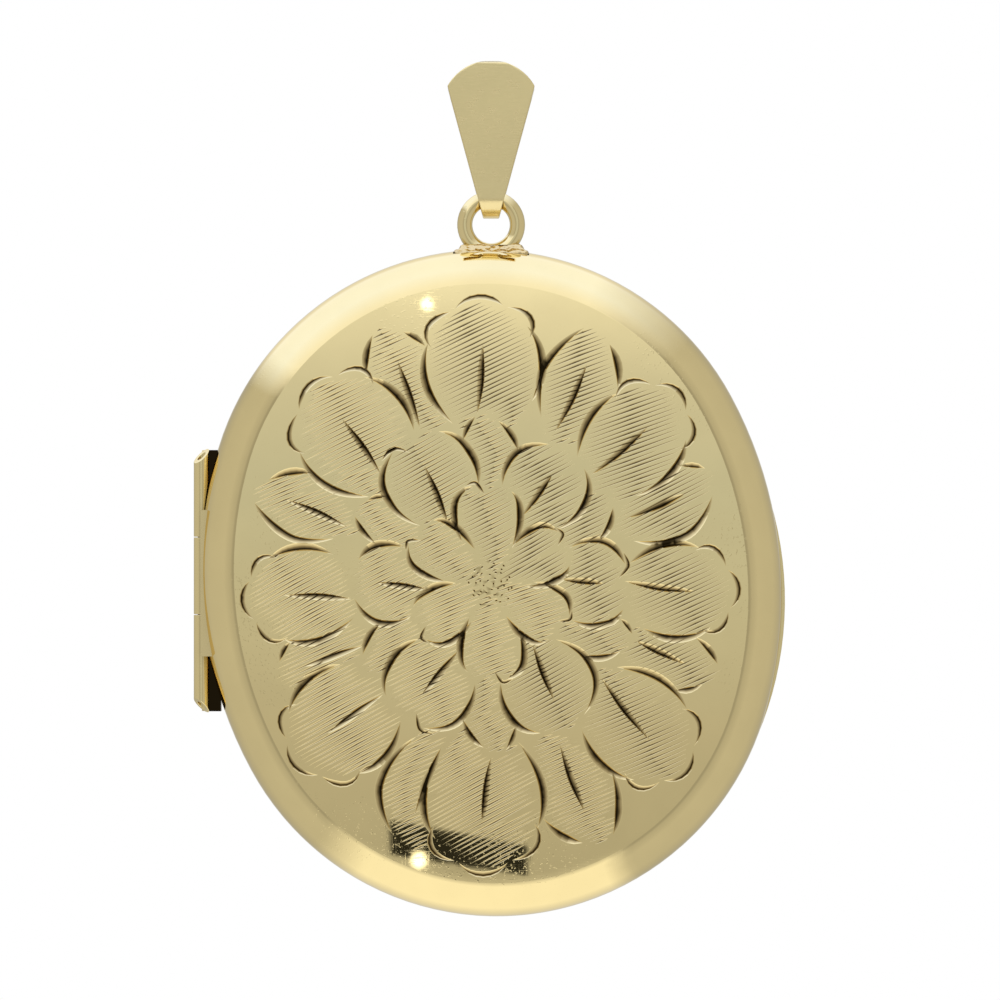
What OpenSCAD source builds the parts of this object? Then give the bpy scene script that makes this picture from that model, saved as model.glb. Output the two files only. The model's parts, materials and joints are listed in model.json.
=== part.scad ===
// Hinged oval photo locket, hanging from a fan-shaped bail.
// +Z is up the long axis, -Y is the engraved front and -X is the hinge side.
// The origin is the middle of the chain passage in the head of the bail.

/* [Case] */
// Width of the oval case, from hinge side to thumb side
case_w = 32.6; // [31:0.1:36]
// Height of the oval case
case_h = 37.5; // [36:0.5:40]
// Lean of the oval's long axis away from the line through the loop, in degrees
case_lean = 5.8; // [4:0.1:7]
// Thickness of the gold sheet of the two covers
wall = 0.5; // [0.45:0.01:0.55]
// Radius of the rounded rim of each cover
rim_r = 2.2; // [2.1:0.05:2.4]
// Tilt of the domed face where it runs into the rounded rim, in degrees
dome_tilt = 5.5; // [4.5:0.1:6.5]

/* [Snap collar] */
// Height of the collar that stands into the front half
collar_h = 0.55; // [0.4:0.05:0.6]
// Radial running gap between the collar and the front rim
collar_gap = 0.06; // [0.05:0.01:0.1]
// Thickness of the collar
collar_t = 0.34; // [0.3:0.01:0.36]

/* [Hinge] */
// Distance of the hinge axis from the middle of the case
hinge_x = 16.28; // [16.2:0.02:16.4]
// Outer radius of the hinge knuckles
knuckle_r = 0.43; // [0.4:0.01:0.45]
// Radius of the hinge pin
pin_r = 0.21; // [0.18:0.01:0.22]
// Radial running gap between the pin and the middle knuckle
pin_gap = 0.03; // [0.02:0.01:0.05]
// Height of the upper end of the hinge above the middle of the case
hinge_top = 7.47; // [7:0.05:8]
// Depth of the lower end of the hinge below the middle of the case
hinge_foot = 7.22; // [7:0.05:8]
// Height of the joint between the upper and the middle knuckle
split_up = 2.58; // [2:0.05:3]
// Depth of the joint between the middle and the lower knuckle
split_down = 1.77; // [1.5:0.05:2.5]
// Angle of the filed ends of the hinge, in degrees
mitre = 38; // [30:1:42]

/* [Loop] */
// Height of the middle of the loop above the middle of the case
loop_z = 20.13; // [20:0.05:20.3]
// Radius of the loop to the middle of its wire
loop_r = 1.48; // [1.4:0.02:1.6]
// Radius of the loop's wire
wire_r = 0.43; // [0.4:0.01:0.45]

/* [Bail] */
// Distance between the loop's wire and the chain passage in the bail
bail_reach = 4.7; // [4.4:0.05:5]
// Thickness of the bail's sheet
bail_t = 0.38; // [0.36:0.01:0.42]
// Inner radius of the eye that hangs on the loop
eye_r = 0.76; // [0.74:0.01:0.78]
// Radius of the curve of the bail's back over the chain passage
roof_r = 2.1; // [2:0.05:2.2]
// Forward lean of the bail's flat front leaf, in degrees
front_lean = 2.0; // [1:0.5:3]
// Widest breadth of the fan
fan_w = 4.88; // [4.4:0.02:5.2]
// Breadth of the bail at its eye
eye_w = 0.88; // [0.8:0.02:0.9]

/* [Photo frames] */
// Width of the polished lip of each photo frame
lip_w = 1.15; // [1:0.05:1.4]
// Depth of each frame's top below the parting plane
frame_in = 0.62; // [0.62:0.01:0.64]

/* [Hidden] */
$fn = 96;

// Case: an oval of four arcs, so that every inset of it has the same four centres. Neighbouring
// arcs meet on rays with the steps of arc_join, right and up.
// Sections are drawn with x = R at the edge, and x falls inwards along the edge's normal.
R = case_h / 2;
half_w = case_w / 2;
arc_join = [12, 5];
arc_side = (R - half_w) * arc_join[0] / (arc_join[0] + arc_join[1] - norm(arc_join));
arc_end = arc_side * arc_join[1] / arc_join[0];
side_r = half_w + arc_side;
end_r = R - arc_end;
rim_mid = R - rim_r;
face_mid = R - half_w;
face_r = rim_r + (rim_mid - face_mid) / sin(dome_tilt);
face_drop = (face_r - rim_r) * cos(dome_tilt);
dome_fn = 720;
seam_gap = 0.02;

// Snap collar and the rim it enters
collar_out = R - 1.05;
collar_in = collar_out - collar_t;
rim_depth = 1.3;
shelf_z = collar_h + 0.05;

// Photo frames: they push into the collar's bore, with window and card inside
frame_r = collar_in - 0.03;
skirt_t = 0.45;
frame_depth = 1.45;
lip_h = 0.36;
window_t = 0.22;
card_t = 0.2;
pane_r = frame_r - skirt_t;
crown_r = 0.7;

// Hinge
slot_r = knuckle_r + 0.06;
knuckle_gap = 0.04;
bearer_w = 1.1;
bearer_near = 0.1;
bearer_far = 0.95;
front_bearer_half = 4.1;
pin_end = 6.3;
knuckle_bore = pin_r + 0.005;
mitre_lean = 24;
big = 60;

// Loop foot, set into a notch in the edge of the front cover
foot_half = 2.05;
foot_thick = 1.75;
foot_low = R - 0.62;
foot_top = loop_z - 1.15;
foot_fillet = 0.4;
fillet_out = 0.05;
foot_back = 0.1;
notch_gap = 0.08;

// Thumb lip: a crescent that stands proud of the back cover's edge
lip_turn_r = 19.5;
lip_turn_x = -2.98;
lip_turn_z = -0.99;
lip_thick = 0.42;
lip_up = 4.6;
lip_down = 8.6;
lip_rebate = 0.25;

// Bail
eye_z = loop_z + loop_r;
head_z = eye_z + bail_reach;
head_top = 2.95;
roof_y = -0.7;
roof_z = head_top - roof_r;
eye_out = eye_r + bail_t;
fan_drop = 1.43;
fan_low = head_top - fan_drop;
fan_arc_r = (fan_w * fan_w / 4 + fan_drop * fan_drop) / (2 * fan_drop);
fan_arc_z = head_top - fan_arc_r;

// Puts the middle of the chain passage at the origin
module hang() translate([0, 0, -head_z]) children();

// Turns a section about the case's own axis; the section's y runs towards the front
module oval_turn() {
  hang() rotate([0, -case_lean, 0]) rotate([90, 0, 0]) for (turn = [0, 180]) rotate([0, 0, turn]) {
    arc_turn([-arc_side, 0], side_r, [1, -1], [[arc_side, -arc_end], [arc_side, arc_end]]) children();
    arc_turn([0, arc_end], end_r, [-1, 1], [[0, 0]]) children();
  }
}

// Turn of a section about one of the oval's centres, kept between the ray on which two arcs meet
// and its mirror image; the wedge begins at the given near points
module arc_turn(centre, r, flip, near) {
  ray = [flip[0] * arc_join[0], flip[1] * arc_join[1]];
  translate([centre[0], centre[1], 0]) intersection() {
    rotate_extrude() intersection() {
      translate([r - R, 0]) children();
      translate([0, -R]) square([r + 1, 2 * R]);
    }
    translate([0, 0, -R]) linear_extrude(2 * R) polygon(concat(near, [8 * arc_join, 8 * ray]));
  }
}

// The same for the back half, whose section runs towards the back
module back_turn() mirror([0, 1, 0]) oval_turn() children();

// Section of the space under a dome, inside the outer surface by the given skin
module dome_2d(skin) {
  intersection() {
    translate([face_mid, -face_drop]) circle(r = face_r - skin, $fn = dome_fn);
    translate([-R, 0]) square([R + rim_mid + (rim_r - skin) * sin(dome_tilt), R]);
  }
  intersection() {
    translate([rim_mid, 0]) circle(r = rim_r - skin);
    square([R, R]);
  }
}

// Section of one cover: dome and rounded rim in sheet
module cover_2d() {
  difference() {
    dome_2d(0);
    dome_2d(wall);
    translate([-R, -1]) square([2 * R + 1, 1 + seam_gap]);
  }
}

// Everything that the hinge takes out of a case half: a flat along the axis,
// and a round slot for the knuckles
module hinge_cut() {
  hang() {
    translate([-hinge_x - big, -big / 2, -big / 2]) cube([big, big, big]);
    translate([-hinge_x, 0, -hinge_foot - 0.1]) cylinder(r = slot_r, h = hinge_top + hinge_foot + 0.2);
  }
}

// Strip of metal that carries the knuckles of one half, outside the collar's inset
module bearer_strip(near, low, high, inset) {
  difference() {
    hang() translate([-hinge_x, near, low]) cube([bearer_w, bearer_far - bearer_near, high - low]);
    for (side = [0, 1]) mirror([0, side, 0]) oval_turn() translate([-R, -1]) square([2 * R - inset, 3]);
  }
}

module back_strip() bearer_strip(bearer_near, -hinge_foot, hinge_top, R - collar_out);
module front_strip() {
  bearer_strip(-bearer_far, -front_bearer_half, front_bearer_half, R - collar_out - collar_gap);
}

// Length of barrel between two heights, at a given radius
module barrel(r, low, high) {
  hang() translate([-hinge_x, 0, low]) cylinder(r = r, h = high - low);
}

// Filed ends of the hinge, lower at its front and outer side
module mitre_cut() {
  hang() {
    translate([-hinge_x + knuckle_r, 0, hinge_top])
      rotate([mitre_lean, -mitre, 0]) translate([-big / 2, -big / 2, 0]) cube([big, big, big]);
    translate([-hinge_x + knuckle_r, 0, -hinge_foot])
      rotate([-mitre_lean, mitre, 0]) translate([-big / 2, -big / 2, -big]) cube([big, big, big]);
  }
}

// Outline of the loop's foot: straight below, hollowed by a fillet on both sides above
module foot_2d(half, extra) {
  difference() {
    translate([-half - extra, foot_low]) square([2 * (half + extra), foot_top - foot_low]);
    for (side = [-1, 1]) translate([side * (half + extra + fillet_out), foot_top]) circle(r = foot_fillet);
  }
}

// Foot of the loop: its outline from the front crossed with its outline from the side
module foot_solid(extra) {
  hang() intersection() {
    rotate([90, 0, 0]) translate([0, 0, -big / 2]) linear_extrude(big) foot_2d(foot_half, extra);
    translate([0, foot_back, 0]) rotate([90, 0, 90]) translate([0, 0, -big / 2])
      linear_extrude(big) foot_2d(foot_thick / 2, extra);
  }
}

// Side outline shared by the bail's sheet and by the space inside it: a flat front, a back
// that runs from the round of the eye to the round of the roof, and those two round ends
module bail_side_2d(skin) {
  low_r = eye_out - skin;
  high_r = roof_r - skin;
  run = norm([roof_y, roof_z + bail_reach]);
  back_turn = atan2(roof_z + bail_reach, roof_y) - acos((low_r - high_r) / run);
  back_dir = [cos(back_turn), sin(back_turn)];
  front_dir = [-cos(front_lean), -sin(front_lean)];
  eye = [0, -bail_reach];
  roof = [roof_y, roof_z];
  front_off = low_r + front_dir * eye;
  front_gap = front_off - front_dir * roof;
  front_reach = sqrt(high_r * high_r - front_gap * front_gap);
  front_up = big * quarter(front_dir);
  back_up = big * quarter(back_dir);
  eye_front = eye + low_r * front_dir;
  eye_back = eye + low_r * back_dir;
  difference() {
    polygon([eye_front - front_up, eye_front + front_up, eye_back - back_up, eye_back + back_up]);
    round_end(roof + front_gap * front_dir + front_reach * quarter(front_dir),
              roof + high_r * back_dir, roof, high_r);
    round_end(eye_back, eye_front, eye, low_r);
  }
}

// A direction turned a quarter clockwise
function quarter(way) = [way[1], -way[0]];

// What a round end takes off between the points where its arc begins and ends
module round_end(a, b, centre, r) {
  along = (b - a) / norm(b - a);
  outward = -quarter(along);
  difference() {
    polygon([a - big * along, b + big * along, b + big * (along + outward), a - big * (along - outward)]);
    translate(centre) circle(r = r);
  }
}

// Everything of a given half breadth that lies under the bail's arched top or an inset of it
module under_arch_2d(r, half) {
  difference() {
    translate([-half, -big / 2]) square([2 * half, big]);
    difference() {
      translate([-half, fan_arc_z]) square([2 * half, big]);
      translate([0, fan_arc_z]) circle(r = r);
    }
  }
}

// Front outline of the bail: a straight taper under an arched top
module fan_2d() {
  intersection() {
    polygon([[-eye_w / 2, -bail_reach - eye_out], [eye_w / 2, -bail_reach - eye_out],
             [fan_w / 2, fan_low], [fan_w / 2, fan_w], [-fan_w / 2, fan_w], [-fan_w / 2, fan_low]]);
    under_arch_2d(fan_arc_r, fan_w);
  }
}

// A side outline crossed with a front outline, each a child
module crossed() {
  intersection() {
    rotate([90, 0, 90]) translate([0, 0, -fan_w]) linear_extrude(fan_w * 2) children(0);
    rotate([90, 0, 0]) translate([0, 0, -fan_w]) linear_extrude(fan_w * 2) children(1);
  }
}

// Sheet bail: two leaves round the eye, closed above the chain passage along the arch
module bail() {
  color("gold") difference() {
    crossed() {
      bail_side_2d(0);
      fan_2d();
    }
    crossed() {
      bail_side_2d(bail_t);
      under_arch_2d(fan_arc_r - bail_t, fan_w);
    }
  }
}

// Soldered wire loop, standing in the plane of the case
module top_loop() {
  color("gold") intersection() {
    hang() translate([0, 0, loop_z]) rotate([90, 0, 0])
      rotate_extrude() translate([loop_r, 0]) circle(r = wire_r, $fn = 48);
    hang() translate([-big / 2, -big / 2, foot_top]) cube([big, big, big]);
  }
}

// Flared foot that the loop stands on
module loop_base() {
  color("darkgoldenrod") foot_solid(0);
}

// Domed back of the case
module back_cover() {
  color("gold") difference() {
    back_turn() cover_2d();
    hinge_cut();
    back_strip();
    foot_solid(0);
    thumb_lip();
  }
}

// Ring soldered inside the back cover; its collar stands into the front half
module back_snap_collar() {
  color("goldenrod") difference() {
    back_turn() {
      intersection() {
        dome_2d(wall);
        translate([collar_in, seam_gap]) square([R, rim_depth - seam_gap]);
      }
      translate([collar_in, -collar_h]) square([collar_t, collar_h + rim_depth / 2]);
    }
    hinge_cut();
    back_strip();
    foot_solid(0);
  }
}

// Narrow crescent for the thumbnail, on the side away from the hinge
module thumb_lip() {
  color("goldenrod") difference() {
    hang() intersection() {
      translate([lip_turn_x, seam_gap + lip_thick, lip_turn_z]) rotate([90, 0, 0])
        cylinder(r = lip_turn_r, h = lip_thick, $fn = dome_fn);
      translate([half_w / 2, -1, -lip_down]) cube([half_w, 2, lip_down + lip_up]);
    }
    hang() rotate([0, -case_lean, 0]) translate([-arc_side, lip_thick * 2, 0]) rotate([90, 0, 0])
      cylinder(r = side_r - lip_rebate, h = lip_thick * 3, $fn = dome_fn);
  }
}

// Hinge tubes of the back half, with filed ends
module hinge_knuckle_top() {
  color("gold") difference() {
    barrel(knuckle_r, split_up + knuckle_gap / 2, hinge_top + 1);
    barrel(knuckle_bore, split_up - 1, hinge_top + 2);
    mitre_cut();
  }
}

module hinge_knuckle_bottom() {
  color("gold") difference() {
    barrel(knuckle_r, -hinge_foot - 1, -split_down - knuckle_gap / 2);
    barrel(knuckle_bore, -hinge_foot - 2, -split_down + 1);
    mitre_cut();
  }
}

// Hinge tube of the front half, which turns on the pin
module hinge_knuckle_middle() {
  color("gold") difference() {
    barrel(knuckle_r, -split_down + knuckle_gap / 2, split_up - knuckle_gap / 2);
    barrel(pin_r + pin_gap, -split_down - 1, split_up + 1);
  }
}

module hinge_pin() {
  color("silver") barrel(pin_r, -pin_end, pin_end);
}

// Troughs of sheet that join the knuckles to each half
module back_hinge_bearer() {
  color("darkgoldenrod") difference() {
    back_strip();
    barrel(knuckle_r, -hinge_foot - 1, hinge_top + 1);
    barrel(slot_r, -split_down - knuckle_gap, split_up + knuckle_gap);
    mitre_cut();
  }
}

module front_hinge_bearer() {
  color("darkgoldenrod") difference() {
    front_strip();
    barrel(knuckle_r, -hinge_foot, hinge_top);
    barrel(slot_r, -hinge_foot, -split_down + knuckle_gap);
    barrel(slot_r, split_up - knuckle_gap, hinge_top);
  }
}

// Domed front of the case; its engraving is shallower than a hair
module front_cover() {
  color("gold") difference() {
    oval_turn() cover_2d();
    hinge_cut();
    front_strip();
    foot_solid(notch_gap);
  }
}

// Ring soldered inside the front cover; the collar slides into it and stops on its shelf
module front_inner_rim() {
  color("goldenrod") difference() {
    oval_turn() intersection() {
      dome_2d(wall);
      union() {
        translate([collar_out + collar_gap, seam_gap]) square([R, rim_depth - seam_gap]);
        translate([collar_in, shelf_z]) square([R, rim_depth - shelf_z]);
      }
    }
    hinge_cut();
    front_strip();
    foot_solid(notch_gap);
  }
}

// Oval push-in frame with a rounded lip over the window and a skirt round it
module photo_frame_2d() {
  intersection() {
    polygon([[frame_r - lip_w, frame_in], [frame_r, frame_in], [frame_r, frame_depth],
             [pane_r, frame_depth], [pane_r, frame_in + lip_h], [frame_r - lip_w, frame_in + lip_h]]);
    translate([frame_r - lip_w / 2, frame_in + crown_r]) circle(r = crown_r);
  }
}

// Flat oval sheet inside the frame
module pane_2d(depth, thick) {
  translate([-R, depth]) square([R + pane_r, thick]);
}

module back_photo_frame() color("gold") back_turn() photo_frame_2d();
module front_photo_frame() color("gold") oval_turn() photo_frame_2d();
module back_window() color("lightblue") back_turn() pane_2d(frame_in + lip_h, window_t);
module front_window() color("lightblue") oval_turn() pane_2d(frame_in + lip_h, window_t);
module back_photo_card() color("ivory") back_turn() pane_2d(frame_in + lip_h + window_t, card_t);
module front_photo_card() color("ivory") oval_turn() pane_2d(frame_in + lip_h + window_t, card_t);

bail();
top_loop();
loop_base();
back_cover();
back_snap_collar();
thumb_lip();
hinge_knuckle_top();
hinge_knuckle_bottom();
hinge_pin();
back_hinge_bearer();
back_photo_frame();
back_window();
back_photo_card();
front_cover();
front_inner_rim();
hinge_knuckle_middle();
front_hinge_bearer();
front_photo_frame();
front_window();
front_photo_card();
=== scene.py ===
import json
import math
import random

import bmesh
import bpy
import numpy as np
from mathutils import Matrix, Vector, noise
from mathutils.geometry import delaunay_2d_cdt

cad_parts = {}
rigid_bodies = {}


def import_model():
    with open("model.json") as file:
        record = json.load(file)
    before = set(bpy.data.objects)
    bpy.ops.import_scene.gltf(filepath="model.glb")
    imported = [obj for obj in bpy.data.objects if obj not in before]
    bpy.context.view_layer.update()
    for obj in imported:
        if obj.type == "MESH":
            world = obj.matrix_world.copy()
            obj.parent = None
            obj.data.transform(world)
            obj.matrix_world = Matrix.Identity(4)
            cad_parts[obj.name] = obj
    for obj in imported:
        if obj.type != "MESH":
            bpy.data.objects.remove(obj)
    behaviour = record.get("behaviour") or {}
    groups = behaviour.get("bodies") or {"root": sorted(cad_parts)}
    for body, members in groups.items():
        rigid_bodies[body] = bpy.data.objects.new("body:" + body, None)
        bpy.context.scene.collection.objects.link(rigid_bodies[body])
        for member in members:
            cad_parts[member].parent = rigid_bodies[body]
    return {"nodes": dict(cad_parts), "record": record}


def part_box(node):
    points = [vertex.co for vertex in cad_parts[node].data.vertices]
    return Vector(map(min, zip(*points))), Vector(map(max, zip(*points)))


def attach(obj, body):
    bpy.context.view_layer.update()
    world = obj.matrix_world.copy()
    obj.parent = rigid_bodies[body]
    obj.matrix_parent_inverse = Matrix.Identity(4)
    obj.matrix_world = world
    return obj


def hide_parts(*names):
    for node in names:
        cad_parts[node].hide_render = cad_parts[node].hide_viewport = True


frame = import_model()
for o in list(bpy.data.objects):
    if o.name in ("Cube", "Light", "Camera"):
        bpy.data.objects.remove(o)
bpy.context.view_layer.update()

MM = 0.001
NODES = frame["nodes"]


# ------------------------------------------------------------------ the oval
def middle(node):
    low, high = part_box(node)
    return (low + high) / 2


CENTRE = middle("front_window")
LEAN = math.radians(5.8)
HALF_H, HALF_W = 18.75, 16.3
RIM_R, TILT = 2.2, math.radians(5.5)
JOIN = (12, 5)                                # step of the rays on which the oval's arcs meet
ARC_SIDE = (HALF_H - HALF_W) * JOIN[0] / (JOIN[0] + JOIN[1] - math.hypot(*JOIN))
ARC_END = ARC_SIDE * JOIN[1] / JOIN[0]
SIDE_R, END_R = HALF_W + ARC_SIDE, HALF_H - ARC_END
RIM_MID, FACE_MID = HALF_H - RIM_R, HALF_H - HALF_W
FACE_R = RIM_R + (RIM_MID - FACE_MID) / math.sin(TILT)
FACE_DROP = (FACE_R - RIM_R) * math.cos(TILT)
FACE_EDGE = RIM_R * (1 - math.sin(TILT))      # inset at which the rim turns into the face
SOFT = 2.6                                    # how far the crown of the dome is evened out
CROWN_IN, CROWN_SPAN = 4.0, 7.0               # inset where that begins, and over how much it comes in


def inset(x, z):
    """How far a point of the face lies inside the oval's edge, in mm; x and z from the middle."""
    u = np.abs(x * math.cos(LEAN) + z * math.sin(LEAN))
    v = np.abs(-x * math.sin(LEAN) + z * math.cos(LEAN))

    def raw(u):
        side = SIDE_R - np.hypot(u + ARC_SIDE, v)
        end = END_R - np.hypot(u, v - ARC_END)
        return np.where(v * JOIN[0] <= (u + ARC_SIDE) * JOIN[1], side, end)

    s = raw(u)
    w = np.clip((s - CROWN_IN) / CROWN_SPAN, 0, 1)
    w = w * w * (3 - 2 * w)
    return raw(np.sqrt(u * u + (SOFT * w) ** 2))


def dome(x, z):
    """Height of the outer surface above the parting plane, in mm."""
    r = HALF_H - inset(x, z)
    rim = np.sqrt(np.maximum(RIM_R ** 2 - np.maximum(r - RIM_MID, 0) ** 2, 0))
    face = -FACE_DROP + np.sqrt(FACE_R ** 2 - np.maximum(r - FACE_MID, 0) ** 2)
    return np.where(r > HALF_H - FACE_EDGE, rim, face)


# ------------------------------------------------------------------ the engraving
HATCH_PITCH, HATCH_WIDTH = 0.238, (0.115, 0.15)
VEIN_WIDTH, LOBE_WIDTH = 0.40, 0.34
STIPPLES, STIPPLE_R, GOLDEN_ANGLE = 42, 1.3, 2.39996


class Cut:
    """A tapered V-shaped cut of a graver along a line; its deepest line lies nearer to one side."""

    def __init__(self, line, width, depth, lean=0.0, tone=1.0, taper=0.5):
        self.line = np.array(line, float)
        step = np.diff(self.line, axis=0)
        run = np.concatenate([[0], np.cumsum(np.hypot(step[:, 0], step[:, 1]))])
        t = run / run[-1]
        swell = np.minimum(1, np.minimum(t / taper, (1 - t) / (1 - taper)))
        swell = np.sin(swell * math.pi / 2) ** 0.9
        self.left = width * (0.5 + lean) * swell
        self.right = width * (0.5 - lean) * swell
        self.depth = depth * swell
        self.tone = tone
        side = np.gradient(self.line, axis=0)
        side /= np.hypot(side[:, 0], side[:, 1])[:, None]
        self.normal = np.stack([-side[:, 1], side[:, 0]], axis=1)
        self.low, self.high = self.line.min(0) - width, self.line.max(0) + width

    def rails(self):
        """The cut's two edges and its deepest line, as points."""
        a = self.line + self.normal * self.left[:, None]
        b = self.line - self.normal * self.right[:, None]
        return a[1:-1], self.line, b[1:-1]

    def deep(self, p):
        """Depth of the cut at points, 0 outside it."""
        best = np.zeros(len(p))
        for i in range(len(self.line) - 1):
            a, d = self.line[i], self.line[i + 1] - self.line[i]
            n = np.hypot(*d)
            t = np.clip(((p - a) @ d) / (n * n), 0, 1)
            off = p - a - t[:, None] * d
            side = off @ np.array([-d[1], d[0]]) / n
            dist = np.hypot(off[:, 0], off[:, 1])
            half = np.where(side > 0, self.left[i] + (self.left[i + 1] - self.left[i]) * t,
                            self.right[i] + (self.right[i + 1] - self.right[i]) * t)
            depth = self.depth[i] + (self.depth[i + 1] - self.depth[i]) * t
            best = np.maximum(best, depth * (1 - dist / np.maximum(half, 1e-6)))
        return best


def along(points, steps):
    """Smooth line through a few points."""
    p = np.array(points, float)
    ext = np.vstack([2 * p[0] - p[1], p, 2 * p[-1] - p[-2]])
    out = []
    for i in range(len(p) - 1):
        a, b, c, d = ext[i:i + 4]
        for k in range(steps):
            t = k / steps
            out.append(0.5 * (2 * b + (c - a) * t + (2 * a - 5 * b + 4 * c - d) * t * t
                              + (3 * b - a - 3 * c + d) * t ** 3))
    out.append(p[-1])
    return np.array(out)


class Petal:
    """A petal or leaf: a root, a direction, a length, a breadth, a bend and the kind of its tip."""

    def __init__(self, root, angle, length, breadth, bend=0.0, tip="round", vein=0.5, hatch=25, layer=0,
                 fat=0.55):
        self.root = np.array(root, float)
        self.angle, self.length, self.breadth = math.radians(angle), length, breadth
        self.bend, self.tip, self.vein, self.hatch, self.layer, self.fat = bend, tip, vein, hatch, layer, fat
        self.edges = self.make_edges()
        self.outline = np.vstack([self.edges[0], self.edges[1][::-1]])

    def at(self, t, off):
        """Point at a share of the length along the bent axis, off to one side by some mm."""
        turn = self.angle + self.bend * t
        mid = self.angle + self.bend * t / 2
        x = self.root[0] + self.length * t * math.cos(mid) - off * math.sin(turn)
        z = self.root[1] + self.length * t * math.sin(mid) + off * math.cos(turn)
        return (x, z)

    def half(self, t):
        """Half breadth at a share of the length."""
        peak = self.fat
        if t < peak:
            body = math.sin(t / peak * math.pi / 2) ** 0.8
        else:
            k = (t - peak) / (1 - peak)
            power = {"round": 2.6, "heart": 3.0, "frill": 2.4, "point": 1.5}[self.tip]
            body = (1 - k ** power) ** 0.75
        return self.breadth / 2 * (0.10 * (1 - t) + body * (0.9 + 0.1 * t))

    def make_edges(self):
        sides = []
        for side in (1, -1):
            pts = []
            for i in range(25):
                t = i / 24
                pts.append(self.at(t, side * self.half(t)))
            sides.append(np.array(pts))
        if self.tip == "heart":
            tip = np.array(self.at(0.9, 0))
            sides = [np.vstack([s[:-1], tip]) for s in sides]
        return sides

    def covers(self, p):
        """Whether points lie inside the outline."""
        poly = self.outline
        x, y = p[:, 0], p[:, 1]
        inside = np.zeros(len(p), bool)
        j = len(poly) - 1
        for i in range(len(poly)):
            xi, yi, xj, yj = *poly[i], *poly[j]
            if yi != yj:
                inside ^= ((yi > y) != (yj > y)) & (x < (xj - xi) * (y - yi) / (yj - yi) + xi)
            j = i
        return inside

    def strokes(self):
        """The outline's cuts and the vein, each (line, width, depth, lean to the steep side)."""
        out = []
        wide = 0.37 + 0.012 * self.length
        left, right = self.edges
        n = len(left)
        if self.tip == "frill":
            cut_l, cut_r = (int(n * 0.16), int(n * 0.76)), (int(n * 0.30), int(n * 0.80))
        else:
            start = 0.32 if self.layer == 2 else 0.18
            cut_l, cut_r = (int(n * (start + 0.04)), n - 1), (int(n * (start - 0.04)), int(n * 0.9))
        out.append((left[cut_l[0]:cut_l[1]], wide, 0.14, 0.22))
        out.append((right[cut_r[0]:cut_r[1]], wide * 1.05, 0.145, -0.22))
        if self.tip == "frill":
            lobes = ((-2, 58), (64, 122), (128, 182)) if self.breadth > 3.6 else ((0, 84), (96, 184))
            for first, last in lobes:
                line = []
                for k in range(9):
                    a = math.radians(first + (last - first) * k / 8)
                    r = 0.90 + 0.16 * math.sin(math.pi * k / 8)
                    line.append(self.at(0.72 + 0.30 * r * math.sin(a), self.half(0.7) * r * math.cos(a)))
                out.append((np.array(line), LOBE_WIDTH, 0.11, -0.15))
        if self.tip == "heart":
            out.append((along([self.at(0.86, self.breadth * 0.02), self.at(0.99, self.breadth * 0.16),
                               self.at(0.95, self.breadth * 0.34)], 6), 0.3, 0.1, 0.15))
        if self.vein:
            s = self.vein
            line = along([self.at(0.14, 0.13 * self.breadth * s), self.at(0.42, 0.02 * self.breadth),
                          self.at(0.70, -0.02 * self.breadth)], 7)
            out.append((line, VEIN_WIDTH, 0.14, 0.22))
        return out


# a plain rosette about the middle of the case: rings of evenly spread petals, sized by the oval alone
PETALS = []
MARGIN = 2.6                                  # what is left plain along the edge, in mm
LAYOUT = random.Random(5)


def reach(angle):
    """How far the engraved field goes from the middle, along an angle in degrees."""
    a = math.radians(angle)
    low, high = 0.0, HALF_H
    for _ in range(24):
        r = (low + high) / 2
        if inset(np.array([r * math.cos(a)]), np.array([r * math.sin(a)]))[0] > MARGIN:
            low = r
        else:
            high = r
    return low


def petal_ring(count, turn, root, length, breadth, layer, tips, vein, bend=0.0, fat=0.55):
    """A ring of petals a little uneven, as by hand; root, length and breadth are shares of the reach."""
    for k in range(count):
        angle = turn + 360 / count * (k + LAYOUT.uniform(-0.07, 0.07))
        far = reach(angle)
        a = math.radians(angle)
        start = far * root * LAYOUT.uniform(0.96, 1.04)
        long = min(far * length * LAYOUT.uniform(0.95, 1.05), far - start)
        PETALS.append(Petal((start * math.cos(a), start * math.sin(a)), angle, long,
                            far * breadth * LAYOUT.uniform(0.93, 1.07), bend * LAYOUT.uniform(0.5, 1.5),
                            tips[k % len(tips)], vein, LAYOUT.uniform(21, 29), layer, fat))


petal_ring(8, 22.5, 0.52, 0.47, 0.27, 0, ("point",), 0.7, 0.20)
petal_ring(8, 0.0, 0.46, 0.53, 0.385, 0, ("frill",), 0.8, 0.12)
petal_ring(6, 30.0, 0.24, 0.36, 0.20, 1, ("point",), 0.0, 0.25)
petal_ring(6, 0.0, 0.20, 0.38, 0.315, 1, ("heart", "round"), 0.7, 0.10)
petal_ring(6, 30.0, 0.02, 0.32, 0.205, 2, ("heart",), 0.0, 0.0, 0.66)


def hidden(p, layer, own):
    """Which points lie under a petal of a higher layer, or under a later one of the same layer."""
    out = np.zeros(len(p), bool)
    for k, q in enumerate(PETALS):
        if q.layer > layer or (q.layer == layer and k > own):
            out |= q.covers(p)
    return out


def runs(keep):
    """Stretches of True in a row of flags, as (first, last)."""
    out, start = [], None
    for i, f in enumerate(list(keep) + [False]):
        if f and start is None:
            start = i
        if not f and start is not None:
            out.append((start, i - 1))
            start = None
    return out


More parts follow.
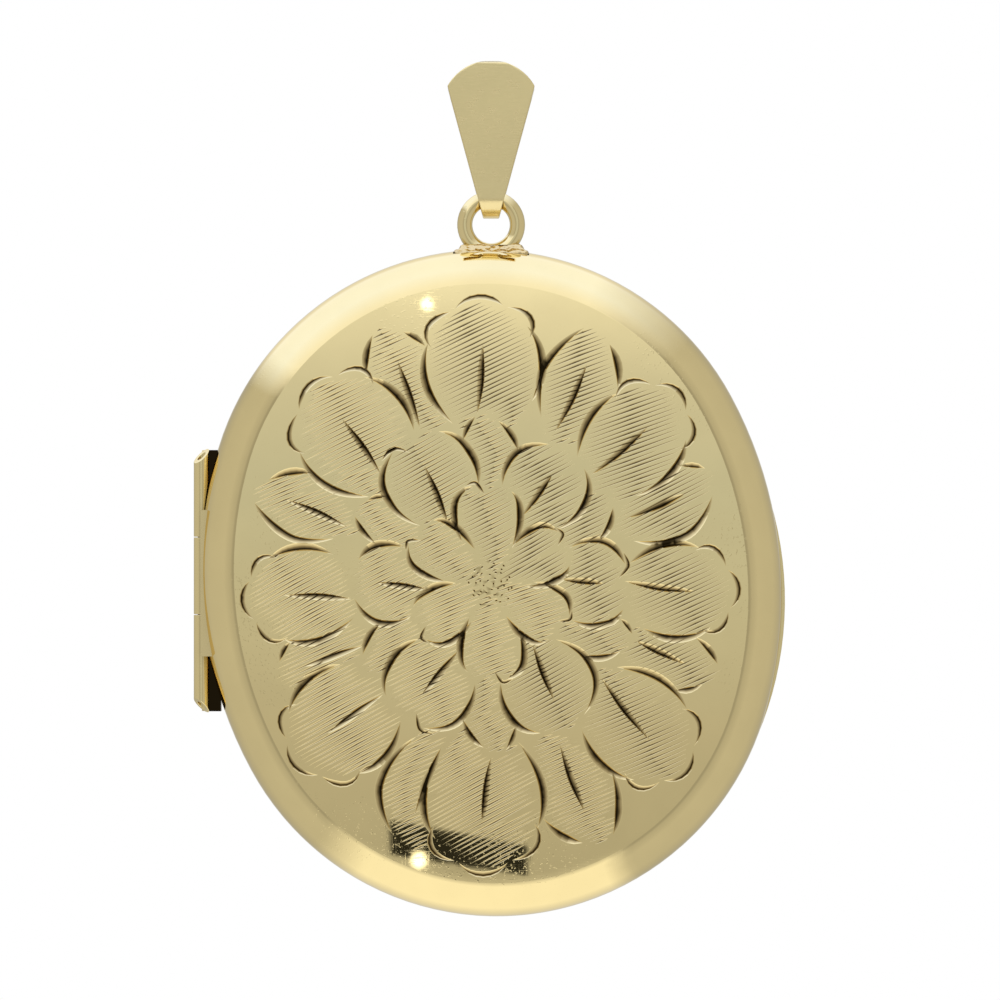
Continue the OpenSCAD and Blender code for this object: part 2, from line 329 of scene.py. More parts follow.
def engraving():
    cuts = []
    rnd = random.Random(11)
    for k, q in enumerate(PETALS):
        for line, width, depth, lean in q.strokes():
            line = np.array(line)
            keep = ~hidden(line, q.layer, k) if q.layer < 2 else np.ones(len(line), bool)
            for a, b in runs(keep):
                if b - a < 4:
                    continue
                part = line[a:b + 1]
                size = np.hypot(*(np.diff(part, axis=0).T)).sum()
                if size < 0.8:
                    continue
                w = width * min(1, 0.45 + size / 5)
                cuts.append(Cut(part, w, depth * w / width, lean, 1.0, 0.42 + 0.2 * rnd.random()))
    for k, q in enumerate(PETALS):
        a = math.radians(q.hatch + rnd.uniform(-2, 2))
        d, n = np.array([math.cos(a), math.sin(a)]), np.array([-math.sin(a), math.cos(a)])
        s = q.outline @ n
        off = s.min() + 0.1
        while off < s.max():
            base = n * (off + rnd.uniform(-0.02, 0.02))
            span = q.outline @ d
            t = np.arange(span.min() - 0.3, span.max() + 0.3, 0.06)
            p = base + t[:, None] * d
            keep = q.covers(p) & ~hidden(p, q.layer, k)
            for i, j in runs(keep):
                if j - i < 9:
                    continue
                first = p[i] - d * rnd.uniform(-0.25, 0.12)
                last = p[j] + d * rnd.uniform(-0.25, 0.12)
                if rnd.random() < 0.06:
                    last = last - (last - first) * rnd.uniform(0.1, 0.4)
                m = last - first
                bow = n * rnd.uniform(-0.02, 0.02)
                line = [first, first + m * 0.14, first + m * 0.5 + bow, first + m * 0.86, last]
                w = rnd.uniform(*HATCH_WIDTH)
                cuts.append(Cut(line, w, w * 0.22, 0.12, 1.0, 0.5))
            off += HATCH_PITCH + rnd.uniform(-0.02, 0.02)
    for i in range(STIPPLES):                               # the stippled heart of the flower
        r, a = STIPPLE_R * math.sqrt((i + 0.5) / STIPPLES), GOLDEN_ANGLE * i + rnd.uniform(-0.15, 0.15)
        c = np.array([r * math.cos(a), r * math.sin(a)])
        b = a + math.pi / 2 + rnd.uniform(-0.3, 0.3)
        e = np.array([math.cos(b), math.sin(b)]) * rnd.uniform(0.06, 0.09)
        cuts.append(Cut([c - e, c - e * 0.4, c + e * 0.4, c + e], 0.13, 0.06, 0.1, 1.0, 0.5))
    return cuts


CUTS = engraving()


def carve(p):
    """Depth of the engraving at points and its tone there, darker the deeper the cut: tarnish and painted shade."""
    deep, tone = np.zeros(len(p)), np.zeros(len(p))
    for c in CUTS:
        near = np.flatnonzero((p[:, 0] > c.low[0]) & (p[:, 0] < c.high[0])
                              & (p[:, 1] > c.low[1]) & (p[:, 1] < c.high[1]))
        if len(near):
            d = c.deep(p[near])
            more = d > deep[near]
            tone[near[more]] = np.minimum(1, d[more] / (c.depth.max() * 0.8)) * c.tone
            deep[near[more]] = d[more]
    return deep, tone


GRID = 0.75                                   # spacing of the plain face's points, in mm


def outer_normal(x, z, front):
    """Normals of the smooth dome."""
    e = 0.004                                 # step of the slope, in mm
    gx = (dome(x + e, z) - dome(x - e, z)) / (2 * e)
    gz = (dome(x, z + e) - dome(x, z - e)) / (2 * e)
    n = np.stack([-gx, np.full(len(x), -1.0 if front else 1.0), -gz], axis=1)
    return n / np.linalg.norm(n, axis=1)[:, None]


def read(obj):
    """A CAD node's vertices in mm from the case's middle, and its faces."""
    m = obj.data
    co = np.empty(len(m.vertices) * 3)
    m.vertices.foreach_get("co", co)
    co = co.reshape(-1, 3)
    faces = [tuple(p.vertices) for p in m.polygons]
    return (co - np.array([CENTRE.x, 0, CENTRE.z])) / MM, faces


def shell(name, node, front, patch):
    """A cover: the CAD shape with the true normals of its dome and rim, and the engraved face if asked."""
    co, faces = read(NODES[node])
    key, first, index = {}, [], np.empty(len(co), int)
    for i, c in enumerate(np.round(co, 4)):
        t = tuple(c)
        if t not in key:
            key[t] = len(first)
            first.append(i)
        index[i] = key[t]
    co = co[first]
    faces = [tuple(int(index[v]) for v in f) for f in faces]
    faces = [f for f in faces if len(set(f)) == len(f)]
    sign = -1 if front else 1
    s = inset(co[:, 0], co[:, 2])
    gap = np.abs(sign * co[:, 1] - dome(co[:, 0], co[:, 2]))
    outer = (gap < np.where(s > FACE_EDGE, 0.15, 0.03)) & (sign * co[:, 1] > 0.015)
    face_part = outer & (s > FACE_EDGE - 0.004)
    tone = np.zeros(len(co))
    if patch:
        keep = [f for f in faces if not all(face_part[v] for v in f)]
        gone = [f for f in faces if all(face_part[v] for v in f)]
        edges = {}
        for f in gone:
            for a, b in zip(f, f[1:] + f[:1]):
                edges[(a, b)] = edges.get((a, b), 0) + 1
        border = [(a, b) for (a, b) in edges if (b, a) not in edges]
        nxt = dict(border)
        ring = [border[0][0]]
        while nxt[ring[-1]] != ring[0]:
            ring.append(nxt[ring[-1]])
        pts, lines = [], []
        ring_xy = co[ring][:, [0, 2]]
        for i, p in enumerate(ring_xy):
            pts.append(p)
            lines.append((i, (i + 1) % len(ring)))

        def chain(row):
            n = len(pts)
            pts.extend(row)
            lines.extend((n + i, n + i + 1) for i in range(len(row) - 1))
            return n

        for c in CUTS:
            a, mid, b = c.rails()
            m = chain(mid)
            for row in (a, b):
                r = chain(row)
                lines.append((m, r))
                lines.append((r + len(row) - 1, m + len(mid) - 1))
        for ix in range(-24, 25):
            for iz in range(-27, 28):
                x, z = (ix + (iz % 2) / 2) * GRID, iz * GRID
                if inset(np.array([x]), np.array([z]))[0] > FACE_EDGE + 0.3:
                    pts.append((x, z))
        out = delaunay_2d_cdt([Vector((float(p[0]), float(p[1]))) for p in pts], lines, [], 0, 1e-5)
        verts = np.array([(v.x, v.y) for v in out[0]])
        tris = [tuple(f) for f in out[2]]
        cent = verts[np.array(tris)].mean(axis=1)
        ok = inset(cent[:, 0], cent[:, 1]) > FACE_EDGE - 0.02
        tris = [t for t, g in zip(tris, ok) if g]
        deep, tone_new = carve(verts)
        on_ring = {}
        for j, src in enumerate(out[3]):
            for q in src:
                if q < len(ring):
                    on_ring[j] = ring[q]
        base = len(co)
        new = np.stack([verts[:, 0], sign * (dome(verts[:, 0], verts[:, 1]) - deep), verts[:, 1]], axis=1)
        co = np.vstack([co, new])
        tone = np.concatenate([tone, tone_new])
        patch_faces = []
        for t in tris:
            f = tuple(on_ring.get(v, base + v) for v in t)
            if len(set(f)) < 3:
                continue
            a, b, c = (co[v][[0, 2]] for v in f)
            turn = (b[0] - a[0]) * (c[1] - a[1]) - (b[1] - a[1]) * (c[0] - a[0])
            if (turn > 0) != front:
                f = f[::-1]
            patch_faces.append(f)
        faces = keep + patch_faces
        outer = np.concatenate([outer, np.ones(len(new), bool)])
        n_keep = len(keep)
    else:
        n_keep = len(faces)
    used = sorted({v for f in faces for v in f})
    where = {v: i for i, v in enumerate(used)}
    faces = [tuple(where[v] for v in f) for f in faces]
    co, outer, tone = co[used], outer[used], tone[used]

    mesh = bpy.data.meshes.new(name)
    world = co * MM + np.array([CENTRE.x, 0, CENTRE.z])
    mesh.from_pydata(world.tolist(), [], faces)
    mesh.update()
    # the cut's tone, darker with depth: tarnish and painted shade in the grooves
    att = mesh.attributes.new("cut", "FLOAT", "POINT")
    att.data.foreach_set("value", tone)

    # corner normals: true ones on the smooth surface, the cut's own in the engraving
    n_loops = len(mesh.loops)
    vert = np.empty(n_loops, int)
    mesh.loops.foreach_get("vertex_index", vert)
    face_of = np.repeat(np.arange(len(mesh.polygons)), [p.loop_total for p in mesh.polygons])
    fn = np.empty(len(mesh.polygons) * 3)
    mesh.polygons.foreach_get("normal", fn)
    fn = fn.reshape(-1, 3)
    cen = np.empty(len(mesh.polygons) * 3)
    mesh.polygons.foreach_get("center", cen)
    cen = (cen.reshape(-1, 3) - np.array([CENTRE.x, 0, CENTRE.z])) / MM
    normals = fn[face_of]
    true = outer_normal(co[:, 0], co[:, 2], front)
    agree = (normals * true[vert]).sum(1)
    smooth = outer[vert] & (agree > 0.93)
    smooth &= face_of < n_keep
    normals[smooth] = true[vert][smooth]
    if patch:
        in_patch = face_of >= n_keep
        q = co[vert] * 0.9 + cen[face_of] * 0.1
        q = q[in_patch]
        e = 0.002
        x, z = q[:, 0], q[:, 2]

        def engraved(x, z):
            return dome(x, z) - carve(np.stack([x, z], axis=1))[0]

        flat = carve(np.stack([cen[face_of][in_patch][:, 0], cen[face_of][in_patch][:, 2]], axis=1))[0] < 1e-5
        got = true[vert][in_patch].copy()
        walls = ~flat
        gx = (engraved(x[walls] + e, z[walls]) - engraved(x[walls] - e, z[walls])) / (2 * e)
        gz = (engraved(x[walls], z[walls] + e) - engraved(x[walls], z[walls] - e)) / (2 * e)
        w = np.stack([-gx, np.full(walls.sum(), float(sign)), -gz], axis=1)
        got[walls] = w / np.linalg.norm(w, axis=1)[:, None]
        normals[in_patch] = got
    mesh.polygons.foreach_set("use_smooth", [True] * len(mesh.polygons))
    mesh.normals_split_custom_set([tuple(n) for n in normals])
    obj = bpy.data.objects.new(name, mesh)
    bpy.context.scene.collection.objects.link(obj)
    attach(obj, "front_half" if front else "back_half")
    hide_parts(node)
    return obj


engraved = shell("engraved_front_cover", "front_cover", True, True)
back = shell("polished_back_cover", "back_cover", False, False)


SHARP = math.radians(32)                      # edges that turn more than this are eased


def softened(name, node, body, width, slot):
    """A copy of a CAD shape whose sharp edges are rounded off by some mm."""
    bm = bmesh.new()
    bm.from_mesh(NODES[node].data)
    bmesh.ops.remove_doubles(bm, verts=bm.verts, dist=1e-7)
    bmesh.ops.dissolve_limit(bm, angle_limit=math.radians(0.4), verts=bm.verts, edges=bm.edges)
    sharp = [e for e in bm.edges if e.is_manifold and e.calc_face_angle(0) > SHARP]
    bmesh.ops.bevel(bm, geom=sharp, offset=width * MM, segments=2, profile=0.5, affect="EDGES",
                    clamp_overlap=True)
    bmesh.ops.triangulate(bm, faces=[f for f in bm.faces if len(f.verts) > 4])
    for f in bm.faces:
        f.smooth = True
    mesh = bpy.data.meshes.new(name)
    bm.to_mesh(mesh)
    bm.free()
    # each corner takes the mean normal of the faces round it, weighted by their area
    leading = [Vector() for _ in mesh.vertices]
    for f in mesh.polygons:
        for v in f.vertices:
            leading[v] += f.normal * f.area
    normals = []
    for f in mesh.polygons:
        for v in f.vertices:
            n = leading[v].normalized()
            normals.append(n if n.dot(f.normal) > 0.6 else f.normal)
    mesh.normals_split_custom_set([tuple(n) for n in normals])
    add(name, mesh, node, body, slot)


MELT_VOXEL, MELT_ROUNDS, MELT_SWELL = 0.06, 9, 0.05                  # mm, rounds of smoothing, mm
MELT_LUMPS = ((1.7, 0.11), (5.0, 0.05))                              # lumps to the mm, and their height in mm
SOFTENED = {}


def add(name, mesh, node, body, slot):
    """Put a shape that stands for a CAD node into the scene."""
    obj = bpy.data.objects.new(name, mesh)
    bpy.context.scene.collection.objects.link(obj)
    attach(obj, body)
    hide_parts(node)
    SOFTENED[obj] = slot


def melted(name, node, body, slot):
    """A copy of a CAD shape run together and lumpy, as solder is."""
    mesh = bpy.data.meshes.new(name + "_rough")
    bm = bmesh.new()
    bm.from_mesh(NODES[node].data)
    bmesh.ops.scale(bm, vec=(1 / MM,) * 3, verts=bm.verts)
    bm.to_mesh(mesh)
    bm.free()
    raw = bpy.data.objects.new(name + "_rough", mesh)
    bpy.context.scene.collection.objects.link(raw)
    remesh = raw.modifiers.new("remesh", "REMESH")
    remesh.mode, remesh.voxel_size = "VOXEL", MELT_VOXEL
    done = bpy.data.meshes.new_from_object(raw.evaluated_get(bpy.context.evaluated_depsgraph_get()))
    bpy.data.objects.remove(raw)
    bpy.data.meshes.remove(mesh)
    bm = bmesh.new()
    bm.from_mesh(done)
    for _ in range(MELT_ROUNDS):
        bmesh.ops.smooth_vert(bm, verts=bm.verts, factor=0.5, use_axis_x=True, use_axis_y=True, use_axis_z=True)
    bm.normal_update()
    for v in bm.verts:
        v.co += v.normal * (MELT_SWELL + sum(noise.noise(v.co * pitch) * high for pitch, high in MELT_LUMPS))
    bmesh.ops.scale(bm, vec=(MM,) * 3, verts=bm.verts)
    for f in bm.faces:
        f.smooth = True
    bm.to_mesh(done)
    bm.free()
    done.name = name
    add(name, done, node, body, slot)


softened("bevelled_bail", "bail", "bail", 0.06, "satin_gold")
melted("melted_loop_base", "loop_base", "back_half", "solder_gold")
softened("worn_thumb_lip", "thumb_lip", "back_half", 0.05, "polished_gold")
softened("worn_knuckle_top", "hinge_knuckle_top", "back_half", 0.03, "hinge_gold")
softened("worn_knuckle_bottom", "hinge_knuckle_bottom", "back_half", 0.03, "hinge_gold")
softened("worn_knuckle_middle", "hinge_knuckle_middle", "front_half", 0.03, "hinge_gold")
for half in ("front", "back"):
    softened(half + "_pane", half + "_window", half + "_half", 0.03, "clear_sheet")
    softened(half + "_blank", half + "_photo_card", half + "_half", 0.03, "blank_card")


# ------------------------------------------------------------------ materials
class Paint:
    """A node material with short calls for what the gold, card and sheet need."""

    def __init__(self, name):
        self.m = bpy.data.materials.new(name)
        self.m.use_nodes = True
        self.t = self.m.node_tree
        self.t.nodes.clear()
        self.out = self.t.nodes.new("ShaderNodeOutputMaterial")
        self.b = self.t.nodes.new("ShaderNodeBsdfPrincipled")
        self.t.links.new(self.b.outputs[0], self.out.inputs[0])
        self.coord = self.t.nodes.new("ShaderNodeTexCoord")

    def link(self, a, b):
        self.t.links.new(a, b)

    def noise(self, scale, detail=4.0, rough=0.6, stretch=None, turn=None, distortion=0.0):
        n = self.t.nodes.new("ShaderNodeTexNoise")
        n.inputs["Scale"].default_value = scale
        n.inputs["Detail"].default_value = detail
        n.inputs["Roughness"].default_value = rough
        n.inputs["Distortion"].default_value = distortion
        if stretch or turn:
            mp = self.t.nodes.new("ShaderNodeMapping")
            if stretch:
                mp.inputs["Scale"].default_value = stretch
            if turn:
                mp.inputs["Rotation"].default_value = turn
            self.link(self.coord.outputs["Object"], mp.inputs["Vector"])
            self.link(mp.outputs[0], n.inputs["Vector"])
        else:
            self.link(self.coord.outputs["Object"], n.inputs["Vector"])
        return n.outputs["Fac"]

    def ramp(self, fac, *stops):
        r = self.t.nodes.new("ShaderNodeValToRGB")
        r.color_ramp.elements[0].position, r.color_ramp.elements[0].color = stops[0][0], stops[0][1]
        r.color_ramp.elements[1].position, r.color_ramp.elements[1].color = stops[-1][0], stops[-1][1]
        for pos, col in stops[1:-1]:
            e = r.color_ramp.elements.new(pos)
            e.color = col
        self.link(fac, r.inputs[0])
        return r.outputs[0]

    def math(self, op, a, b=None, clamp=False):
        n = self.t.nodes.new("ShaderNodeMath")
        n.operation, n.use_clamp = op, clamp
        for i, v in enumerate((a, b)):
            if v is None:
                continue
            if isinstance(v, (int, float)):
                n.inputs[i].default_value = v
            else:
                self.link(v, n.inputs[i])
        return n.outputs[0]

    def mix(self, fac, a, b, blend="MIX"):
        n = self.t.nodes.new("ShaderNodeMix")
        n.data_type, n.blend_type = "RGBA", blend
        for i, v in ((0, fac), (6, a), (7, b)):
            if isinstance(v, (int, float)):
                n.inputs[i].default_value = v
            elif isinstance(v, tuple):
                n.inputs[i].default_value = v
            else:
                self.link(v, n.inputs[i])
        return n.outputs[2]

    def bump(self, height, strength, distance, normal=None):
        n = self.t.nodes.new("ShaderNodeBump")
        n.inputs["Strength"].default_value = strength
        n.inputs["Distance"].default_value = distance
        self.link(height, n.inputs["Height"])
        if normal:
            self.link(normal, n.inputs["Normal"])
        return n.outputs[0]


GOLD = (0.95, 0.778, 0.385, 1)
# the dark brown that the painted shade in corners and gaps goes to
AO_SHADE_BROWN = (0.22, 0.15, 0.06, 1)
# brown and black for the cuts' tarnish and painted shade; the black also paints the bearer's shadow
BROWN = (0.34, 0.24, 0.095, 1)
BLACK = (0.020, 0.013, 0.005, 1)


# painted shadow: bounds of the part of the hinge bearer whose colour is painted black as its shadow
WEDGE_X, WEDGE_FRONT, WEDGE_BACK = -0.01480, 0.00005, 0.00040     # the shadowed part of the bearer, in metres


def gold(name, rough=0.10, tone=GOLD, corner_shade=0.5, satin=None, cut=False, pit=0.0, scratch=1.0,
         wedge=False, specks=0.0):
    """Yellow gold: hairline scratches, faint cloudy wear, and painted shade darkening its corners and gaps."""
    p = Paint(name)
    cloud = p.noise(380, 3, 0.55)
    fine = p.noise(2600, 5, 0.65)
    col = p.ramp(cloud, (0.35, tuple(c * 0.965 for c in tone[:3]) + (1,)), (0.65, tone))
    # painted shade: where ambient occlusion finds corners, creases and gaps, the colour is darkened towards dark
    # brown
    ao = p.t.nodes.new("ShaderNodeAmbientOcclusion")
    ao.inputs["Distance"].default_value = 0.0007
    ao.samples = 8
    corner = p.math("SUBTRACT", 1.0, ao.outputs["AO"])
    corner = p.math("MULTIPLY", p.math("POWER", corner, 1.6), corner_shade, True)
    col = p.mix(corner, col, AO_SHADE_BROWN)
    # tarnish and painted shade in the cuts: brown, then near black, the deeper the cut
    if cut:
        a = p.t.nodes.new("ShaderNodeAttribute")
        a.attribute_name = "cut"
        for colour, stops in ((BROWN, ((0.04, 0.0), (0.28, 0.50), (0.65, 0.95))),
                              (BLACK, ((0.50, 0.0), (0.80, 0.62), (0.98, 1.0)))):
            wear_and_shade = p.ramp(a.outputs["Fac"], *((at, (v, v, v, 1)) for at, v in stops))
            sep = p.t.nodes.new("ShaderNodeSeparateColor")
            p.link(wear_and_shade, sep.inputs[0])
            col = p.mix(sep.outputs[0], col, colour)
    # painted shadow: inside these bounds the bearer's colour is painted black
    if wedge:
        xyz = p.t.nodes.new("ShaderNodeSeparateXYZ")
        p.link(p.coord.outputs["Object"], xyz.inputs[0])
        outside = p.math("MULTIPLY", p.math("SUBTRACT", xyz.outputs[0], WEDGE_X), -6000.0, True)
        shallow = p.math("MULTIPLY", p.math("SUBTRACT", xyz.outputs[1], WEDGE_BACK), -6000.0, True)
        behind = p.math("MULTIPLY", p.math("SUBTRACT", xyz.outputs[1], WEDGE_FRONT), 40000.0, True)
        col = p.mix(p.math("MULTIPLY", p.math("MULTIPLY", outside, shallow), behind), col, BLACK)
    p.link(col, p.b.inputs["Base Color"])
    p.b.inputs["Metallic"].default_value = 1.0
    spread = p.ramp(fine, (0.3, (rough * 0.8,) * 3 + (1,)), (0.75, (rough * 1.25,) * 3 + (1,)))
    p.link(spread, p.b.inputs["Roughness"])
    lines = p.noise(900, 2, 0.5, stretch=(1, 1, 26), turn=(0, 0.5, 0))
    lines2 = p.noise(800, 2, 0.5, stretch=(24, 1, 1), turn=(0, 0.35, 0.1))
    both = p.math("ADD", p.ramp(lines, (0.60, (0, 0, 0, 1)), (0.74, (1, 1, 1, 1))),
                  p.ramp(lines2, (0.62, (0, 0, 0, 1)), (0.76, (1, 1, 1, 1))))
    n = p.bump(both, 0.10 * scratch, 0.000004)
    n = p.bump(cloud, 0.05, 0.00002, n)
    if satin:
        grain = p.noise(1500, 3, 0.6, stretch=satin)
        n = p.bump(grain, 0.35, 0.000012, n)
    if pit:
        n = p.bump(p.noise(1900, 4, 0.7, distortion=0.6), pit, 0.00005, n)
    if specks:
        dots = p.ramp(p.noise(6500, 1, 0.5), (0.64, (0, 0, 0, 1)), (0.72, (1, 1, 1, 1)))
        wear_and_shade = p.ramp(p.noise(130, 2, 0.5), (0.48, (0, 0, 0, 1)), (0.64, (1, 1, 1, 1)))
        n = p.bump(p.math("MULTIPLY", dots, wear_and_shade), specks, 0.000006, n)
    p.link(n, p.b.inputs["Normal"])
    return p.m


# the corner darkening strength given to each gold sets how much painted shade it gets in corners and gaps
MAT = {
    "polished_gold": gold("gold_polished", 0.03, scratch=0.3, specks=0.3),
    "engraved_gold": gold("gold_engraved", 0.022, cut=True, scratch=0.2, specks=0.3),
    "satin_gold": gold("gold_satin", 0.24, satin=(1, 1, 9)),
    "solder_gold": gold("gold_solder", 0.17, tone=(0.80, 0.61, 0.29, 1), corner_shade=0.9, pit=0.22),
    "hinge_gold": gold("gold_hinge", 0.11, satin=(1, 1, 7), corner_shade=0.7),
    "inner_gold": gold("gold_inside", 0.15, tone=(0.86, 0.69, 0.34, 1), corner_shade=0.8, wedge=True),
    "frame_gold": gold("gold_frame", 0.06, corner_shade=0.5),
    "pin_gold": gold("gold_pin", 0.30, tone=(0.80, 0.66, 0.40, 1), satin=(1, 1, 8), corner_shade=0.7),
}

sheet = Paint("window_sheet")
haze = sheet.noise(260, 4, 0.6)
sheet.link(sheet.ramp(haze, (0.3, (0.86, 0.87, 0.84, 1)), (0.7, (0.95, 0.95, 0.92, 1))),
           sheet.b.inputs["Base Color"])
sheet.link(sheet.ramp(sheet.noise(1800, 4, 0.6), (0.45, (0.05,) * 3 + (1,)), (0.75, (0.16,) * 3 + (1,))),
           sheet.b.inputs["Roughness"])
sheet.b.inputs["Alpha"].default_value = 0.22
sheet.b.inputs["IOR"].default_value = 1.49
MAT["clear_sheet"] = sheet.m

card = Paint("card_blank")
fibre = card.noise(1400, 5, 0.7, stretch=(1, 1, 3))
stain = card.noise(90, 4, 0.6)
tint = card.ramp(stain, (0.3, (0.78, 0.71, 0.58, 1)), (0.7, (0.88, 0.84, 0.74, 1)))
card.link(card.mix(0.25, tint, card.ramp(fibre, (0.3, (0.7, 0.65, 0.55, 1)), (0.7, (0.95, 0.92, 0.85, 1)))),
          card.b.inputs["Base Color"])
card.b.inputs["Roughness"].default_value = 0.85
card.link(card.bump(fibre, 0.4, 0.00003), card.b.inputs["Normal"])
MAT["blank_card"] = card.m

for entry in frame["record"]["subparts"]:
    obj = NODES[entry["node"]]
    obj.data.materials.clear()
    obj.data.materials.append(MAT[entry["material_slot"]])
for obj, slot in SOFTENED.items():
    obj.data.materials.clear()
    obj.data.materials.append(MAT[slot])
engraved.data.materials.append(MAT["engraved_gold"])
back.data.materials.append(MAT["polished_gold"])


# ------------------------------------------------------------------ studio
scene = bpy.context.scene
scene.view_settings.view_transform = "Standard"

DISTANCE, FLOOR_DROP = 0.281, 0.144
look = CENTRE + Vector((0.0005, 0.0, 0.00466))
look.y = 0
cam = bpy.data.objects.new("camera", bpy.data.cameras.new("camera"))
scene.collection.objects.link(cam)
cam.data.lens = 180
cam.data.sensor_width = 36
cam.location = look + Vector((0, -DISTANCE, 0))
cam.rotation_euler = (math.pi / 2, 0, 0)
cam.data.clip_start, cam.data.clip_end = 0.01, 10
scene.camera = cam

# a round pale floor below the hanging locket, small enough to stay out of the front view
low = look.z - FLOOR_DROP
FLOOR_R, FLOOR_SIDES = 0.7, 96
fv = [(FLOOR_R * math.cos(2 * math.pi * i / FLOOR_SIDES), FLOOR_R * math.sin(2 * math.pi * i / FLOOR_SIDES), low)
      for i in range(FLOOR_SIDES)]
fm = bpy.data.meshes.new("floor")
fm.from_pydata(fv, [], [tuple(range(FLOOR_SIDES))])
floor = bpy.data.objects.new("floor", fm)
scene.collection.objects.link(floor)
floor.visible_glossy = False
fp = Paint("floor_pale")
fp.link(fp.ramp(fp.noise(60, 3, 0.6), (0.3, (0.86, 0.80, 0.66, 1)), (0.7, (0.90, 0.84, 0.69, 1))),
        fp.b.inputs["Base Color"])
fp.b.inputs["Roughness"].default_value = 0.9
fm.materials.append(fp.m)

# the light tent: white to the eye, and a soft surround for the metal that is bright above and
# below, dimmer at the sides and in front, with one dark card low in front and two small lamps
world = bpy.data.worlds.new("tent")
scene.world = world
world.use_nodes = True
wt = world.node_tree
wt.nodes.clear()


def wnode(kind, *ins, **settings):
    """A node of the world with its inputs linked or set, by position."""
    n = wt.nodes.new(kind)
    for k, v in settings.items():
        setattr(n, k, v)
    for i, v in enumerate(ins):
        if isinstance(v, bpy.types.NodeSocket):
            wt.links.new(v, n.inputs[i])
        elif v is not None:
            n.inputs[i].default_value = v
    return n


def wmath(op, a, b=0.0):
    return wnode("ShaderNodeMath", a, b, operation=op).outputs[0]


def tones(angle, stops):
    """Tone by an angle in degrees between the first stop's and the last one's."""
    first, last = stops[0][0], stops[-1][0]
    share = wmath("DIVIDE", wmath("SUBTRACT", angle, first), last - first)
    r = wnode("ShaderNodeValToRGB", share)
    ramp = r.color_ramp
    for k, (deg, tone) in enumerate(stops):
        e = ramp.elements[0] if k == 0 else ramp.elements[-1] if k == len(stops) - 1 else None
        pos = (deg - first) / (last - first)
        if e is None:
            e = ramp.elements.new(pos)
        e.position = pos
        e.color = tuple(c / 2 for c in (tone if isinstance(tone, tuple) else (tone,) * 3)) + (1,)
    return r.outputs[0]


def blend(fac, a, b):
    """From tone a to tone b, which may be a plain colour."""
    n = wnode("ShaderNodeMix", data_type="RGBA")
    wt.links.new(fac, n.inputs[0])
    wt.links.new(a, n.inputs[6])
    if isinstance(b, tuple):
        n.inputs[7].default_value = b
    else:
        wt.links.new(b, n.inputs[7])
    return n.outputs[2]


def band(value, low, high):
    """0 up to the low value, 1 from the high one on."""
    n = wnode("ShaderNodeMapRange", value, low, high, 0.0, 1.0, clamp=True)
    return n.outputs[0]


toward = wnode("ShaderNodeSeparateXYZ", wnode("ShaderNodeTexCoord").outputs["Generated"])
tx, ty, tz = toward.outputs
facing = wmath("MULTIPLY", ty, -1.0)
DEG = 180 / math.pi
CARD_TONE, LAMP_TONE = (0.012, 0.012, 0.010, 1), (1.6, 1.6, 1.6, 1)
LAMPS = ((-3.5, 12.35, 0.30), (-4.5, -14.1, 0.38))                   # sweep, rise and width in degrees
off_axis = wmath("MULTIPLY", wmath("ARCCOSINE", facing), DEG)           # 0 towards the camera
around = wmath("MULTIPLY", wmath("ARCTAN2", tz, tx), DEG)             # 90 above, -90 below
rise = wmath("MULTIPLY", wmath("ARCTAN2", tz, facing), DEG)
sweep = wmath("MULTIPLY", wmath("ARCTAN2", tx, facing), DEG)

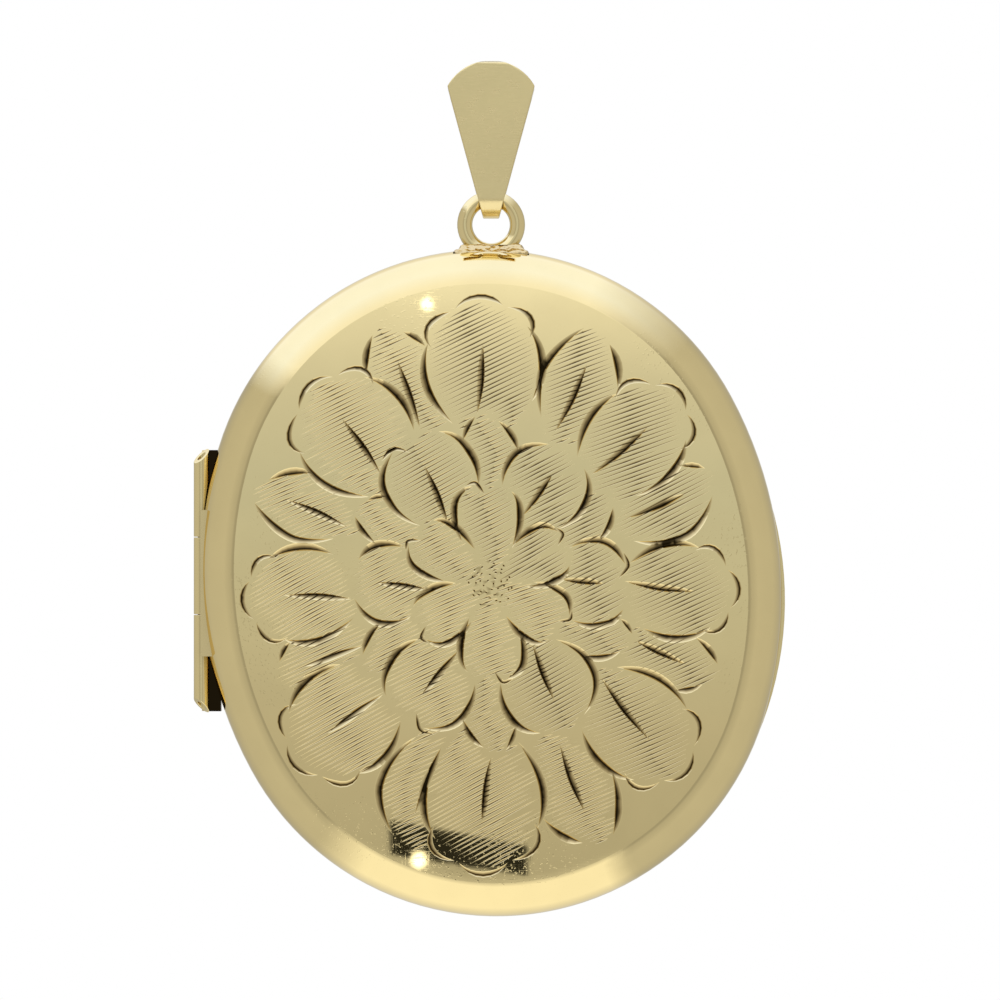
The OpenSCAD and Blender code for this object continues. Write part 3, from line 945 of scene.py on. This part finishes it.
front_tone = tones(rise, ((-17, (0.45, 0.45, 0.44)), (-7, (0.52, 0.52, 0.52)), (-2, (0.57, 0.59, 0.61)),
                          (3, (0.58, 0.62, 0.67)), (8, (0.66, 0.69, 0.74)), (12, (0.84, 0.87, 0.93)),
                          (13.6, (0.97, 1.01, 1.10)), (15, (1.03, 1.07, 1.20)), (17, (1.03, 1.07, 1.20))))
side_tone = tones(off_axis, ((0, 0.40), (15, 0.40), (19, 0.38), (24, 0.49), (44, 0.57), (100, 0.55), (148, 0.44),
                             (164, 0.60), (180, 0.74)))
up_tone = tones(off_axis, ((0, 0.90), (15, (1.03, 1.07, 1.20)), (21, (1.04, 1.08, 1.22)), (60, (1.06, 1.18, 1.58)),
                           (125, (1.06, 1.16, 1.50)), (140, 0.88), (164, 0.72), (180, 0.74)))
down_tone = tones(off_axis, ((0, 0.60), (16, 0.72), (25, 1.06), (100, 1.06), (125, 0.85), (164, 0.62), (180, 0.74)))
upright = tones(around, ((-180, 0.0), (-130, 0.0), (-119, 2.0), (-66, 2.0), (-60, 0.0), (42, 0.0), (66, 2.0),
                         (141, 2.0), (149, 0.0), (180, 0.0)))
outer_tone = blend(upright, side_tone, blend(band(tz, -0.02, 0.02), down_tone, up_tone))
tent_tone = blend(band(off_axis, 15.0, 15.8), front_tone, outer_tone)
# the dark card: its upper and lower edges, which slope a little, and its two ends, in degrees
card_top = wmath("ADD", wmath("MULTIPLY", sweep, -0.177), -12.97)
card_foot = wmath("ADD", wmath("MULTIPLY", sweep, -0.146), -14.7)
card_on = wmath("MULTIPLY", band(sweep, -6.3, -6.0), band(wmath("MULTIPLY", sweep, -1.0), -1.9, -1.6))
card_on = wmath("MULTIPLY", card_on, band(wmath("SUBTRACT", card_top, rise), -0.1, 0.1))
card_on = wmath("MULTIPLY", card_on, band(wmath("SUBTRACT", rise, card_foot), -0.1, 0.1))
tent_tone = blend(card_on, tent_tone, CARD_TONE)
for lamp_sweep, lamp_rise, wide in LAMPS:
    away = wmath("SQRT", wmath("ADD", wmath("POWER", wmath("SUBTRACT", sweep, lamp_sweep), 2.0),
                               wmath("POWER", wmath("SUBTRACT", rise, lamp_rise), 2.0)))
    tent_tone = blend(band(wmath("MULTIPLY", away, -1.0), -1.6 * wide, -0.6 * wide), tent_tone, LAMP_TONE)

seen = wnode("ShaderNodeBackground", (1, 1, 1, 1), 1.0)
tent = wnode("ShaderNodeBackground", tent_tone, 2.0)
pick = wnode("ShaderNodeMixShader", wnode("ShaderNodeLightPath").outputs["Is Camera Ray"],
             tent.outputs[0], seen.outputs[0])
wnode("ShaderNodeOutputWorld", pick.outputs[0])
